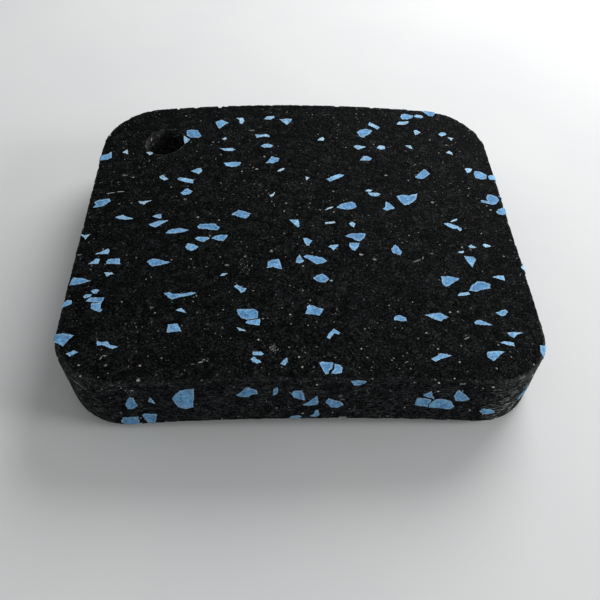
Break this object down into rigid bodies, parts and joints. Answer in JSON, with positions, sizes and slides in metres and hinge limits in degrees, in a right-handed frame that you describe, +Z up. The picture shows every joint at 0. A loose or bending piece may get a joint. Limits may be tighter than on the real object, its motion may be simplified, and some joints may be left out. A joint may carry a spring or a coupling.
{
  "type": "rubber gym floor tile",
  "caption": "Rubber gym floor tile: a thick piece of black crumb rubber with blue flecks, rounded corners and a hole punched near a corner.",
  "frame": {"origin": "on the floor under the middle of the tile, at the centre of the bottom of its box", "axes": "+Z up out of the tread face, +X along the tile's longer side, +Y towards the side that has the hole beside it"},
  "size_m": [0.1, 0.088, 0.0184],
  "materials": {
    "crumb_rubber": "matt pressed crumb rubber, black with blue granules"
  },
  "bodies": {
    "root": {"rubber_tile": "crumb_rubber"}
  },
  "joints": []
}
